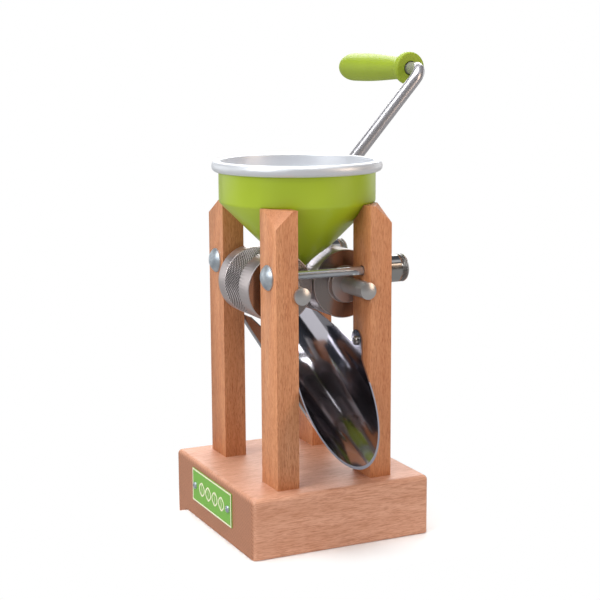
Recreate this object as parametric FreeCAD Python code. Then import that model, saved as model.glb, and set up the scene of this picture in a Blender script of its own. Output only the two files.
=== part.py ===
import FreeCAD, Part
import math
import os

# Two-roller nutcracker on four wooden posts, with a funnel above and a chute below.
# Millimetres. Origin: middle of the base's flat underside, where it stands on a table top.
# +X runs to the right, +Y to the rear where the crank is, +Z up.
# The stop lip along the rear of the base hangs below z = 0, over the edge of the table.

V = FreeCAD.Vector
X = V(1, 0, 0)
Y = V(0, 1, 0)
Z = V(0, 0, 1)

# ---------------------------------------------------------------- driving dimensions
# fits
RUN_FIT = 0.05        # radial clearance of a shaft that turns in its bore
PRESS_FIT = 0.02      # radial clearance drawn for pressed and screwed-in pieces
SEAT_GAP = 0.3        # gap between the funnel's cone and the cut seats in the posts

# rollers
ROLLER_R = 28.9
NIP = 1.2             # gap between the two rims
KNURL_DEPTH = 0.8     # full height of the diamond knurl
BAND_FRONT = 19.5     # plain band at the front of each roller
BAND_REAR = 14.2      # plain band at the rear
BOSS_R = 15.0
BOSS_FRONT = 6.0
BOSS_REAR = 4.0
ROLLER_EDGE = 0.8     # chamfer on the rims
PIN_R = 1.6
PIN_ANGLE = 153.0     # direction of the drive roller's cross pin, seen from the front
PIN_PROUD = 0.4       # each pin stands this far out of its boss

# axles
AXLE_R = 7.0
AXLE_H = 157.6        # axle height above the top of the base
AXLE_DOME = 1.4
AXLE_PROUD = 3.5      # domed end in front of the posts
AXLE_REAR = 53.0      # length of the drive axle behind the rear posts

# posts
POST_X = 19.2
POST_Y = 31.1
POST_SPAN_Y = 78.8    # between the front and the rear pair
GROOVE_DEPTH = 4.1    # the axle lies this deep in the posts' inner faces
ROLLER_PLAY_FRONT = 3.4
ROLLER_PLAY_REAR = 1.4
FACET_SHARE = 0.8     # the corner facet takes this share of each side of the post's top
FACET_DROP = 14.0

# base
BASE_X = 160.0
BASE_Y = 170.0
BASE_Z = 50.0
BASE_ROUND = 4.0
FOOT_ROUND = 1.0
LIP_Y = 22.0
LIP_DROP = 8.0

# funnel
BAND_R = 65.6
BAND_H = 25.0
OUTLET_R = 28.6
SHEET = 1.5
OUTLET_CLEAR = 2.5    # between the rollers and the outlet that is cut round them
LIP_END = 13.0        # the outlet's two lips end this far above the axles
BEAD_OUT = 5.7        # the rolled rim stands this far outside the band
BEAD_H = 9.0
BEAD_ROUND = 3.2

# carriage bolts, washers and thumb nuts
BOLT_RISE = 14.4      # above the axles
BOLT_LENGTH = 120.0
BOLT_HEAD_R = 10.3
BOLT_HEAD_H = 5.0     # rise of the head's dome
BOLT_HEAD_RIM = 1.0   # straight rim under the dome
BOLT_NECK = 8.0
BOLT_NECK_L = 5.0
SHANK_R = 3.55
THREAD_R = 4.0
THREAD_L = 30.0
LEFT_HOLE_R = 4.1
RIGHT_HOLE_R = 4.5
WASHER_R = 8.0
WASHER_T = 1.6
WASHER_PLAY = 0.2
NUT_R = 11.5
NUT_L = 17.8
NUT_KNURL_L = 6.5
NUT_KNURL_DEPTH = 0.5
NUT_EDGE = 1.6

# crank
HUB_R = 12.0
HUB_L = 24.0
HUB_EDGE = 1.0
GRUB_R = 3.0
GRUB_SINK = 0.6
ARM_R = 6.0
ARM_ROOT = 8.5        # the rod's foot, from the axle's centre line
ARM_REACH = 233.4
ARM_BEND = 14.0
ARM_ANGLE = 48.3      # above horizontal, in the pose as drawn
GRIP_FROM = 23.5      # from the rod's centre line to the grip's flange face
GRIP_LENGTH = 140.0
GRIP_BLIND = 10.0     # solid end of the grip past its bore
GRIP_FLANGE_R = 15.6
GRIP_FLANGE_T = 8.0
GRIP_NECK_R = 10.5
GRIP_BELLY_R = 14.0
GRIP_MOUTH_R = 7.2
GRIP_MOUTH_T = 3.0
PIN_END_GAP = 0.5

# chute
CHUTE_T = 1.2
CHUTE_SLOPE = 0.442   # rise of the trough per millimetre towards the rear
CHUTE_DROP = 17.5     # from the bottom of the rollers down to the trough's centre line at y = 0
CHUTE_RIM_CLEAR = 3.7 # from the bottom of the rollers down to the trough's level rim
CHUTE_REAR = 60.0
CHUTE_TIP_Y = -117.0
SCOOP_SLOPE = 1.22    # slope of the cut that forms the scoop
RIM_LEVEL_Y = 27.0    # the rim is level behind this
EAR_R = 9.0
EAR_RISE = 4.0        # ear screw above the rim beside it
EAR_SET = 8.2         # ear screw behind the inner edge of the front posts
CHUTE_SCREW_R = 2.0
CHUTE_SCREW_L = 14.0
CHUTE_HEAD_R = 4.0
CHUTE_HEAD_H = 2.6

# name plate
PLATE_L = 86.5
PLATE_H = 28.7
PLATE_T = 1.0
PLATE_Z = 29.3
PLATE_Y = 0.8
PLATE_SCREW_SPAN = 73.0
PLATE_SCREW_R = 1.5
PLATE_SCREW_L = 12.0
PLATE_HEAD_R = 3.0
PLATE_HEAD_H = 1.8

# wood screws that hold the posts from below
POST_SCREW_R = 2.5
POST_SCREW_L = 85.0
POST_SCREW_HEAD_R = 4.8
POST_SCREW_HEAD_H = 2.6
POST_SCREW_SINK = 1.0
POST_SCREW_EDGE = 3.5     # first screw from the post's inner face
POST_SCREW_PITCH = 13.0

# ---------------------------------------------------------------- derived places
AXLE_X = ROLLER_R + NIP / 2
AXLE_Z = BASE_Z + AXLE_H
POST_IN_X = AXLE_X + AXLE_R - GROOVE_DEPTH
POST_OUT_X = POST_IN_X + POST_X
POST_IN_Y = POST_SPAN_Y / 2
POST_OUT_Y = POST_IN_Y + POST_Y
POST_MID_X = POST_IN_X + POST_X / 2
POST_MID_Y = POST_IN_Y + POST_Y / 2
ROLLER_Y0 = -POST_IN_Y + ROLLER_PLAY_FRONT + BOSS_FRONT
ROLLER_Y1 = POST_IN_Y - ROLLER_PLAY_REAR - BOSS_REAR
OUTLET_Z = AXLE_Z + ROLLER_R + OUTLET_CLEAR
POST_TOP = OUTLET_Z + BAND_R - OUTLET_R
BEAD_R = BAND_R + BEAD_OUT
BEAD_Z = POST_TOP + BAND_H
BOLT_Z = AXLE_Z + BOLT_RISE
NUT_X = POST_OUT_X + WASHER_T
CRANK_Y = POST_OUT_Y + AXLE_REAR - HUB_L / 2
CHUTE_Z = AXLE_Z - ROLLER_R - CHUTE_DROP
RIM_Z = AXLE_Z - ROLLER_R - CHUTE_RIM_CLEAR
FAR = 1000.0          # longer than anything on the object, for cutting tools


# ---------------------------------------------------------------- small tools
def block(x0, x1, y0, y1, z0, z1):
    """A box given by its faces."""
    return Part.makeBox(x1 - x0, y1 - y0, z1 - z0, V(x0, y0, z0))


def rod(radius, start, direction, length):
    """A cylinder from a point along a direction."""
    return Part.makeCylinder(radius, length, start, direction)


def turned(points, axis_point, axis, out):
    """A solid of revolution. Each point is (radius, distance along the axis)."""
    corners = [axis_point + out * r + axis * a for r, a in points]
    wire = Part.makePolygon(corners + corners[:1])
    return Part.Face(wire).revolve(axis_point, axis, 360)


def prism(points, place, direction):
    """A straight prism: points become a face through place(), pushed along direction."""
    corners = [place(a, b) for a, b in points]
    wire = Part.makePolygon(corners + corners[:1])
    return Part.Face(wire).extrude(direction)


def dome(radius, height, centre, direction):
    """A spherical cap on a flat circle."""
    ball = (radius ** 2 + height ** 2) / (2 * height)
    middle = centre + direction * (height - ball)
    cap = Part.makeSphere(ball, middle)
    return cap.common(rod(radius + 1, centre, direction, height + 1))


def chamfered_rod(radius, start, direction, length, edge):
    """A cylinder with both ends chamfered."""
    body = rod(radius, start, direction, length)
    return body.makeChamfer(edge, body.Edges)


def edges_where(shape, test):
    """The edges whose centre passes a test."""
    return [e for e in shape.Edges if test(e.CenterOfMass, e)]


def save(name, shape):
    """Write one node."""
    shape.exportStep(os.path.join("parts", name + ".step"))


# ---------------------------------------------------------------- wood
def post_screw_places():
    """Foot of every post screw, in the base's underside and in front of the stop lip."""
    return [
        V(sx * POST_MID_X, sy * (POST_IN_Y + POST_SCREW_EDGE + pitch), POST_SCREW_SINK)
        for sx in (-1, 1)
        for sy in (-1, 1)
        for pitch in (0, POST_SCREW_PITCH)
    ]


def post_screw(foot, fit):
    """A countersunk wood screw, or the hole for it when fit is above 0."""
    head = Part.makeCone(POST_SCREW_HEAD_R + fit, POST_SCREW_R + fit, POST_SCREW_HEAD_H, foot, Z)
    return head.fuse(rod(POST_SCREW_R + fit, foot, Z, POST_SCREW_L + fit)).removeSplitter()


def base():
    """The beech block with the stop lip below its rear edge."""
    hx = BASE_X / 2
    hy = BASE_Y / 2
    outline = [
        (-hy, 0), (hy - LIP_Y, 0), (hy - LIP_Y, -LIP_DROP), (hy, -LIP_DROP), (hy, BASE_Z), (-hy, BASE_Z),
    ]
    body = prism(outline, lambda y, z: V(-hx, y, z), X * BASE_X)
    small = 0.01
    corners = edges_where(body, lambda c, e: abs(c.x) > hx - small and abs(c.y) > hy - small and c.z > 0
                          and abs(c.z - BASE_Z) > small)
    top = edges_where(body, lambda c, e: abs(c.z - BASE_Z) < small)
    body = body.makeFillet(BASE_ROUND, corners + top)
    feet = edges_where(body, lambda c, e: c.z < small and c.y < hy - LIP_Y - small and abs(c.z) < small)
    body = body.makeFillet(FOOT_ROUND, feet)
    for foot in post_screw_places():
        body = body.cut(post_screw(foot, PRESS_FIT))
        body = body.cut(rod(POST_SCREW_HEAD_R + PRESS_FIT, foot - Z * POST_SCREW_SINK, Z, POST_SCREW_SINK))
    for y in plate_screw_rows():
        body = body.cut(plate_screw(y, PRESS_FIT))
    return body


def funnel_cone(grow):
    """The solid cone of the funnel's outside, offset outwards by a gap."""
    shift = grow * math.sqrt(2)
    return Part.makeCone(OUTLET_R + shift, BAND_R + shift, BAND_R - OUTLET_R, V(0, 0, OUTLET_Z), Z)


def post(sx, sy):
    """One post: axle groove, bolt hole, corner facet and the seat for the funnel."""
    xs = sorted((sx * POST_IN_X, sx * POST_OUT_X))
    ys = sorted((sy * POST_IN_Y, sy * POST_OUT_Y))
    body = block(xs[0], xs[1], ys[0], ys[1], BASE_Z, POST_TOP)

    corner = V(sx * POST_OUT_X, sy * POST_OUT_Y, POST_TOP)
    along_x = corner - X * (sx * POST_X * FACET_SHARE)
    along_y = corner - Y * (sy * POST_Y * FACET_SHARE)
    low = corner - Z * FACET_DROP
    slope = (along_y - along_x).cross(low - along_x).normalize()
    if slope.dot(corner - low) < 0:
        slope = slope * -1
    cutter = Part.makePlane(FAR, FAR, V(-FAR / 2, -FAR / 2, 0)).extrude(Z * FAR)
    cutter.Placement = FreeCAD.Placement(low, FreeCAD.Rotation(Z, slope))
    body = body.cut(cutter)

    body = body.cut(funnel_cone(SEAT_GAP))
    body = body.cut(rod(AXLE_R + RUN_FIT, V(sx * AXLE_X, -FAR / 2, AXLE_Z), Y, FAR))
    body = body.cut(bolt_hole(sx, sy))
    for foot in post_screw_places():
        body = body.cut(post_screw(foot, PRESS_FIT))
    return body


# ---------------------------------------------------------------- tie bolts
def bolt_line(sy):
    """Where the bolt meets the outer face of the left post."""
    return V(-POST_OUT_X, sy * POST_MID_Y, BOLT_Z)


def bolt_neck(sy, fit):
    """The square neck under the domed head."""
    start = bolt_line(sy)
    half = BOLT_NECK / 2 + fit
    return block(start.x, start.x + BOLT_NECK_L + fit, start.y - half, start.y + half,
                 start.z - half, start.z + half)


def bolt_hole(sx, sy):
    """What the tie bolt takes out of a post."""
    if sx > 0:
        return rod(RIGHT_HOLE_R, V(POST_IN_X, sy * POST_MID_Y, BOLT_Z), X, POST_X)
    return rod(LEFT_HOLE_R, bolt_line(sy), X, POST_X).fuse(bolt_neck(sy, PRESS_FIT))


def carriage_bolt(sy):
    """Domed head, square neck, plain shank and threaded end."""
    start = bolt_line(sy)
    crown = start - X * BOLT_HEAD_RIM
    body = dome(BOLT_HEAD_R, BOLT_HEAD_H, crown, X * -1)
    body = body.fuse(rod(BOLT_HEAD_R, crown, X, BOLT_HEAD_RIM))
    body = body.fuse(bolt_neck(sy, 0))
    body = body.fuse(rod(SHANK_R, start, X, BOLT_LENGTH - THREAD_L))
    end = start + X * (BOLT_LENGTH - THREAD_L)
    thread = chamfered_rod(THREAD_R, end, X, THREAD_L, (THREAD_R - SHANK_R) / 2)
    return body.fuse(thread).removeSplitter()


def washer(sy):
    """Flat washer on the right-hand post."""
    start = V(POST_OUT_X, sy * POST_MID_Y, BOLT_Z)
    return rod(WASHER_R, start, X, WASHER_T).cut(rod(THREAD_R + WASHER_PLAY, start, X, WASHER_T))


def thumb_nut(sy):
    """Round nut: smooth body, knurled outer band."""
    edge = NUT_EDGE
    step = NUT_KNURL_DEPTH / 2
    band = NUT_L - NUT_KNURL_L
    bore = THREAD_R + RUN_FIT
    outline = [
        (bore, 0), (NUT_R - edge, 0), (NUT_R, edge / 2), (NUT_R, band), (NUT_R - step, band + step),
        (NUT_R - step, NUT_L - edge), (NUT_R - edge - step, NUT_L), (bore, NUT_L),
    ]
    return turned(outline, V(NUT_X, sy * POST_MID_Y, BOLT_Z), X, Z)


# ---------------------------------------------------------------- rollers
def roller(sx):
    """Roller with plain bands, a knurled middle, and a boss at each end."""
    edge = ROLLER_EDGE
    mid = KNURL_DEPTH / 2
    bore = AXLE_R + PRESS_FIT
    knurl0 = ROLLER_Y0 + BAND_FRONT
    knurl1 = ROLLER_Y1 - BAND_REAR
    outline = [
        (bore, ROLLER_Y0 - BOSS_FRONT), (BOSS_R, ROLLER_Y0 - BOSS_FRONT), (BOSS_R, ROLLER_Y0),
        (ROLLER_R - edge, ROLLER_Y0), (ROLLER_R, ROLLER_Y0 + edge), (ROLLER_R, knurl0),
        (ROLLER_R - mid, knurl0 + mid), (ROLLER_R - mid, knurl1 - mid), (ROLLER_R, knurl1),
        (ROLLER_R, ROLLER_Y1 - edge), (ROLLER_R - edge, ROLLER_Y1), (BOSS_R, ROLLER_Y1),
        (BOSS_R, ROLLER_Y1 + BOSS_REAR), (bore, ROLLER_Y1 + BOSS_REAR),
    ]
    body = turned(outline, V(sx * AXLE_X, 0, AXLE_Z), Y, X)
    return body.cut(cross_pin(sx, PRESS_FIT))


def cross_pin(sx, fit):
    """Pin through the front boss and the axle, or its hole when fit is above 0."""
    angle = math.radians(PIN_ANGLE if sx > 0 else 180 - PIN_ANGLE)
    way = V(math.cos(angle), 0, math.sin(angle))
    reach = BOSS_R + PIN_PROUD + fit
    middle = V(sx * AXLE_X, ROLLER_Y0 - BOSS_FRONT / 2, AXLE_Z)
    return rod(PIN_R + fit, middle - way * reach, way, 2 * reach)


def axle(sx, rear_end, rear_dome):
    """Round axle with a domed front end, and a domed or flat rear end."""
    start = V(sx * AXLE_X, -POST_OUT_Y - AXLE_PROUD + AXLE_DOME, AXLE_Z)
    length = rear_end - rear_dome - start.y
    body = rod(AXLE_R, start, Y, length)
    body = body.fuse(dome(AXLE_R, AXLE_DOME, start, Y * -1))
    if rear_dome:
        body = body.fuse(dome(AXLE_R, rear_dome, start + Y * length, Y))
    return body.cut(cross_pin(sx, PRESS_FIT)).removeSplitter()


# ---------------------------------------------------------------- crank
def arm_way():
    """Direction of the crank arm, from the axle outwards."""
    angle = math.radians(ARM_ANGLE)
    return V(math.cos(angle), 0, math.sin(angle))


def crank_centre():
    """Where the arm's centre line meets the drive axle's."""
    return V(AXLE_X, CRANK_Y, AXLE_Z)


def crank_hub():
    """Hub on the end of the drive axle, with the holes for the arm and the grub screw."""
    start = crank_centre() - Y * (HUB_L / 2)
    body = chamfered_rod(HUB_R, start, Y, HUB_L, HUB_EDGE)
    body = body.cut(rod(AXLE_R + PRESS_FIT, start, Y, HUB_L))
    body = body.cut(rod(ARM_R + PRESS_FIT, crank_centre(), arm_way(), HUB_R * 2))
    return body.cut(rod(GRUB_R + PRESS_FIT, crank_centre(), arm_way() * -1, HUB_R * 2))


def crank_grub_screw():
    """Grub screw that bears on the axle, opposite the arm."""
    start = crank_centre() - arm_way() * (AXLE_R + PRESS_FIT)
    length = HUB_R - GRUB_SINK - AXLE_R
    body = rod(GRUB_R, start, arm_way() * -1, length)
    socket = rod(GRUB_R / 2, start - arm_way() * (length / 2), arm_way() * -1, length)
    return body.cut(socket)


def crank_arm():
    """Round rod, bent once so that its end is the pin of the grip."""
    way = arm_way()
    foot = crank_centre() + way * ARM_ROOT
    bend0 = crank_centre() + way * (ARM_REACH - ARM_BEND)
    knee = crank_centre() + way * ARM_REACH
    bend1 = knee + Y * ARM_BEND
    centre = bend0 + Y * ARM_BEND
    middle = centre + (way - Y).normalize() * ARM_BEND
    end = knee + Y * (GRIP_FROM + GRIP_LENGTH - GRIP_BLIND - PIN_END_GAP)
    path = Part.Wire([
        Part.LineSegment(foot, bend0).toShape(),
        Part.Arc(bend0, middle, bend1).toShape(),
        Part.LineSegment(bend1, end).toShape(),
    ])
    section = Part.Wire(Part.makeCircle(ARM_R, foot, way))
    return path.makePipeShell([section], True, False)


def crank_grip():
    """Turned grip with a flange, a waist and a belly, running on the arm's pin."""
    knee = crank_centre() + arm_way() * ARM_REACH
    start = knee + Y * GRIP_FROM
    bore = ARM_R + RUN_FIT

    def at(radius, along):
        return start + Z * radius + Y * along

    soft = GRIP_FLANGE_T / 4
    outside = Part.BSplineCurve()
    outside.interpolate([
        at(GRIP_FLANGE_R, GRIP_FLANGE_T - soft),
        at(GRIP_FLANGE_R - soft, GRIP_FLANGE_T),
        at(GRIP_NECK_R, GRIP_FLANGE_T * 2),
        at((GRIP_NECK_R + GRIP_BELLY_R) / 2, GRIP_LENGTH * 0.38),
        at(GRIP_BELLY_R, GRIP_LENGTH * 0.72),
        at(GRIP_BELLY_R * 0.86, GRIP_LENGTH * 0.91),
        at(GRIP_BELLY_R * 0.5, GRIP_LENGTH * 0.985),
        at(0, GRIP_LENGTH),
    ])
    line = Part.makePolygon([
        at(0, GRIP_LENGTH), at(0, GRIP_LENGTH - GRIP_BLIND), at(bore, GRIP_LENGTH - GRIP_BLIND),
        at(bore, GRIP_MOUTH_T), at(GRIP_MOUTH_R, GRIP_MOUTH_T), at(GRIP_MOUTH_R, 0),
        at(GRIP_FLANGE_R - soft, 0), at(GRIP_FLANGE_R, soft), at(GRIP_FLANGE_R, GRIP_FLANGE_T - soft),
    ])
    wire = Part.Wire([outside.toShape()] + line.Edges)
    return Part.Face(wire).revolve(start, Y, 360)


# ---------------------------------------------------------------- funnel and chute
def funnel():
    """Spun funnel: rolled rim, straight band, 45 degree cone cut out round the rollers, so that a
    lip reaches down between them in front and behind."""
    inner = SHEET
    slant = SHEET * (math.sqrt(2) - 1)
    tip_z = AXLE_Z + LIP_END
    tip_r = OUTLET_R - (OUTLET_Z - tip_z)
    outline = [
        (tip_r, tip_z), (BAND_R, POST_TOP), (BAND_R, BEAD_Z), (BEAD_R, BEAD_Z),
        (BEAD_R, BEAD_Z + BEAD_H), (BAND_R - inner, BEAD_Z + BEAD_H), (BAND_R - inner, POST_TOP + slant),
        (tip_r - inner, tip_z + slant), (tip_r - inner, tip_z),
    ]
    body = turned(outline, V(0, 0, 0), Z, X)
    outer = edges_where(body, lambda c, e: e.Length > 2 * math.pi * BEAD_R * 0.99 and c.z > BEAD_Z - 1)
    body = body.makeFillet(BEAD_ROUND, outer)
    lip = edges_where(body, lambda c, e: abs(c.z - BEAD_Z - BEAD_H) < 0.01
                      and abs(e.BoundBox.XMax - BAND_R + inner) < 0.01)
    body = body.makeFillet(BEAD_ROUND, lip)
    for side in (-1, 1):
        body = body.cut(rod(ROLLER_R + OUTLET_CLEAR, V(side * AXLE_X, -FAR / 2, AXLE_Z), Y, FAR))
    return body


def trough(offset):
    """The U-shaped body of the chute, inset by a wall, long enough for every cut."""
    down = V(0, 1, CHUTE_SLOPE).normalize()
    up = X.cross(down)
    centre = V(0, 0, CHUTE_Z)
    start = centre - down * FAR / 2
    radius = POST_IN_X - offset
    left = start - X * radius
    right = start + X * radius
    bottom = start - up * radius
    top = up * FAR / 4
    section = Part.Wire([
        Part.Arc(left, bottom, right).toShape(),
        Part.LineSegment(right, right + top).toShape(),
        Part.LineSegment(right + top, left + top).toShape(),
        Part.LineSegment(left + top, left).toShape(),
    ])
    return Part.Face(section).extrude(down * FAR)


def rim_height(y):
    """Height of the trough's rim beside the rollers."""
    if y >= RIM_LEVEL_Y:
        return RIM_Z
    return RIM_Z - (RIM_LEVEL_Y - y) * CHUTE_SLOPE / 2


def chute_screw_place():
    """Ear screw, as (y, z)."""
    y = -POST_IN_Y - EAR_SET
    return y, rim_height(y) + EAR_RISE


def chute():
    """Sheet-metal trough with a scooped front, and an ear on each front post."""
    y, z = chute_screw_place()
    stretch = math.sqrt(1 + CHUTE_SLOPE ** 2)
    tip_z = CHUTE_Z + CHUTE_SLOPE * CHUTE_TIP_Y - POST_IN_X * stretch
    ear_front = y - EAR_R
    shoulder = tip_z + (ear_front - CHUTE_TIP_Y) * SCOOP_SLOPE
    outline = [
        (CHUTE_TIP_Y, tip_z), (ear_front, shoulder), (ear_front, z), (y + EAR_R, z),
        (y + EAR_R, rim_height(y + EAR_R)), (RIM_LEVEL_Y, RIM_Z), (CHUTE_REAR, RIM_Z), (CHUTE_REAR, 0),
        (CHUTE_TIP_Y, 0),
    ]
    side = prism(outline, lambda a, b: V(-POST_IN_X, a, b), X * (2 * POST_IN_X))
    side = side.fuse(rod(EAR_R, V(-POST_IN_X, y, z), X, 2 * POST_IN_X))
    body = trough(0).cut(trough(CHUTE_T)).common(side)
    return body.cut(rod(CHUTE_SCREW_R + PRESS_FIT, V(-POST_IN_X, y, z), X, 2 * POST_IN_X)).removeSplitter()


def chute_screw(sx, fit):
    """Round-headed screw through an ear into the post, or its hole in the post."""
    y, z = chute_screw_place()
    inner = V(sx * (POST_IN_X - CHUTE_T), y, z)
    shank = rod(CHUTE_SCREW_R + fit, inner, X * sx, CHUTE_SCREW_L + fit)
    return shank.fuse(dome(CHUTE_HEAD_R, CHUTE_HEAD_H, inner, X * -sx)).removeSplitter()


# ---------------------------------------------------------------- name plate
def plate_screw_rows():
    """The y of each plate screw."""
    return [PLATE_Y - PLATE_SCREW_SPAN / 2, PLATE_Y + PLATE_SCREW_SPAN / 2]


def plate_screw(y, fit):
    """Pan-headed screw through the plate into the base, or its hole."""
    face = V(-BASE_X / 2 - PLATE_T, y, PLATE_Z)
    shank = rod(PLATE_SCREW_R + fit, face, X, PLATE_SCREW_L + fit)
    return shank.fuse(dome(PLATE_HEAD_R, PLATE_HEAD_H, face, X * -1)).removeSplitter()


def name_plate():
    """Thin plate on the left side of the base."""
    face = -BASE_X / 2
    body = block(face - PLATE_T, face, PLATE_Y - PLATE_L / 2, PLATE_Y + PLATE_L / 2,
                 PLATE_Z - PLATE_H / 2, PLATE_Z + PLATE_H / 2)
    for y in plate_screw_rows():
        body = body.cut(plate_screw(y, PRESS_FIT))
    return body


# ---------------------------------------------------------------- the assembly
SIDES = {"left": -1, "right": 1}
ENDS = {"front": -1, "rear": 1}


def build():
    """Every node of the assembly, by name."""
    nodes = {
        "base": base(),
        "name_plate": name_plate(),
        "plate_screws": Part.makeCompound([plate_screw(y, 0) for y in plate_screw_rows()]),
        "post_screws": Part.makeCompound([post_screw(foot, 0) for foot in post_screw_places()]),
        "funnel": funnel(),
        "chute": chute(),
        "chute_screws": Part.makeCompound([chute_screw(sx, 0) for sx in SIDES.values()]),
        "drive_roller": roller(1),
        "drive_axle": axle(1, POST_OUT_Y + AXLE_REAR, 0),
        "drive_pin": cross_pin(1, 0),
        "idler_roller": roller(-1),
        "idler_axle": axle(-1, POST_OUT_Y + AXLE_PROUD, AXLE_DOME),
        "idler_pin": cross_pin(-1, 0),
        "crank_hub": crank_hub(),
        "crank_grub_screw": crank_grub_screw(),
        "crank_arm": crank_arm(),
        "crank_grip": crank_grip(),
    }
    for end, sy in ENDS.items():
        nodes["carriage_bolt_" + end] = carriage_bolt(sy)
        nodes["thumb_washer_" + end] = washer(sy)
        nodes["thumb_nut_" + end] = thumb_nut(sy)
        for side, sx in SIDES.items():
            body = post(sx, sy)
            if sy < 0:
                body = body.cut(chute_screw(sx, PRESS_FIT))
            nodes["post_" + end + "_" + side] = body
    return nodes


os.makedirs("parts", exist_ok=True)
for node_name, node_shape in build().items():
    save(node_name, node_shape)
    print(node_name, len(node_shape.Solids), node_shape.isValid(), round(node_shape.Volume, 1))
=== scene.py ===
"""Looks of a two-roller nutcracker: wooden posts on a block, funnel, knurled rollers, crank and chute.

Metres. The frame is the CAD's: origin under the middle of the base, +X right, +Y to the crank, +Z up.
"""

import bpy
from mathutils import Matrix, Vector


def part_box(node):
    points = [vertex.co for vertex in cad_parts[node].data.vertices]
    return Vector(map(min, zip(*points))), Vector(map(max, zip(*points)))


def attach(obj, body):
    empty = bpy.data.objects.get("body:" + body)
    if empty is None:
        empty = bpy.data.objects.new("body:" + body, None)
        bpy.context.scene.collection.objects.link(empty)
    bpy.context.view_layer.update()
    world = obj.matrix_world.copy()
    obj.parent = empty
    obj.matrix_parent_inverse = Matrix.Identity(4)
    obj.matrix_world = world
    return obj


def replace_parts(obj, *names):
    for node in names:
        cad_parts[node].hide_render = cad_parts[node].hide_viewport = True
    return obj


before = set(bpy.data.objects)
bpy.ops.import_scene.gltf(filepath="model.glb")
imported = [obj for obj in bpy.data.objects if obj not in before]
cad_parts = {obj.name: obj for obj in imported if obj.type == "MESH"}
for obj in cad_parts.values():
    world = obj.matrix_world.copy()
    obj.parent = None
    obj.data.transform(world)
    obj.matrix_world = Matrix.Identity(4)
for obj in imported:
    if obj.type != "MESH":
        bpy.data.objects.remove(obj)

import logging
from dataclasses import dataclass
from enum import Enum
from typing import Callable, Sequence

import bmesh
import bpy
import numpy as np
from mathutils import Matrix, Vector

LOG = logging.getLogger("nutcracker")
MM = 0.001
FULL_TURN = 2 * np.pi
AXIS = {"x": np.array([1.0, 0.0, 0.0]), "y": np.array([0.0, 1.0, 0.0]), "z": np.array([0.0, 0.0, 1.0])}

Triple = tuple[float, float, float]
Tree = bpy.types.NodeTree
Relief = Callable[[np.ndarray, np.ndarray], np.ndarray]


class Body(Enum):
    """The moving bodies of the frame."""

    FRAME = "frame"
    DRIVE = "drive"
    IDLER = "idler"
    GRIP = "grip"
    HOPPER = "hopper"
    NUT_FRONT = "nut_front"
    NUT_REAR = "nut_rear"


# ---------------------------------------------------------------- colour and nodes
def srgb(code: str) -> tuple[float, float, float, float]:
    """Turns an sRGB hex colour into linear RGBA.

    Args:
        code: six hex digits with a leading hash.

    Returns:
        Linear red, green, blue and an alpha of 1.
    """
    parts = [int(code[i:i + 2], 16) / 255 for i in (1, 3, 5)]
    linear = [p / 12.92 if p <= 0.04045 else ((p + 0.055) / 1.055) ** 2.4 for p in parts]
    return (*linear, 1.0)


def add_node(tree: Tree, kind: str, links: dict | None = None, stops: Sequence[tuple[float, str]] = (),
             **settings) -> bpy.types.Node:
    """Adds a shader node, sets its properties and fills its sockets.

    Args:
        tree: the node tree.
        kind: the node's type name without "ShaderNode".
        links: socket name or number to a value, to an output socket, or to a node whose first output is meant.
        stops: a colour ramp's (position, hex colour) in order.
        settings: the node's own properties.

    Returns:
        The new node.
    """
    node = tree.nodes.new("ShaderNode" + kind)
    for key, value in settings.items():
        setattr(node, key, value)
    for key, value in (links or {}).items():
        if isinstance(value, bpy.types.Node):
            value = value.outputs[0]
        if isinstance(value, bpy.types.NodeSocket):
            tree.links.new(value, node.inputs[key])
        else:
            node.inputs[key].default_value = value
    for _ in stops[2:]:
        node.color_ramp.elements.new(0.5)
    if stops:
        for element, (position, code) in zip(node.color_ramp.elements, stops):
            element.position = position
            element.color = srgb(code)
    return node


def blank_material(name: str) -> tuple[bpy.types.Material, Tree]:
    """A material with no nodes.

    Args:
        name: the material's name.

    Returns:
        The material and its empty tree.
    """
    material = bpy.data.materials.new(name)
    material.use_nodes = True
    material.node_tree.nodes.clear()
    return material, material.node_tree


def place(tree: Tree, cell_mm: float | Sequence[float], centre: Sequence[float] = (0, 0, 0)) -> bpy.types.Node:
    """Coordinates on the piece, counted in pattern cells from a centre.

    Args:
        tree: the node tree.
        cell_mm: size of one cell, the same all ways or along X, Y and Z.
        centre: the pattern's centre in metres.

    Returns:
        The node that gives the coordinates.
    """
    source = add_node(tree, "TexCoord").outputs["Object"]
    size = tuple(np.full(3, cell_mm) * MM)
    return add_node(tree, "Mapping", {"Vector": source, "Location": centre, "Scale": size}, vector_type="TEXTURE")


# ---------------------------------------------------------------- finishes
@dataclass(frozen=True)
class Finish:
    """A finish of one Principled shader; each kind of finish says what the shader reads."""

    name: str

    def inputs(self, tree: Tree) -> dict:
        """What the shader's sockets are given, by the socket's name."""
        raise NotImplementedError

    def make(self) -> bpy.types.Material:
        """Builds the material.

        Returns:
            The material.
        """
        material, tree = blank_material(self.name)
        shader = add_node(tree, "BsdfPrincipled", self.inputs(tree))
        add_node(tree, "OutputMaterial", {"Surface": shader})
        return material


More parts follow.
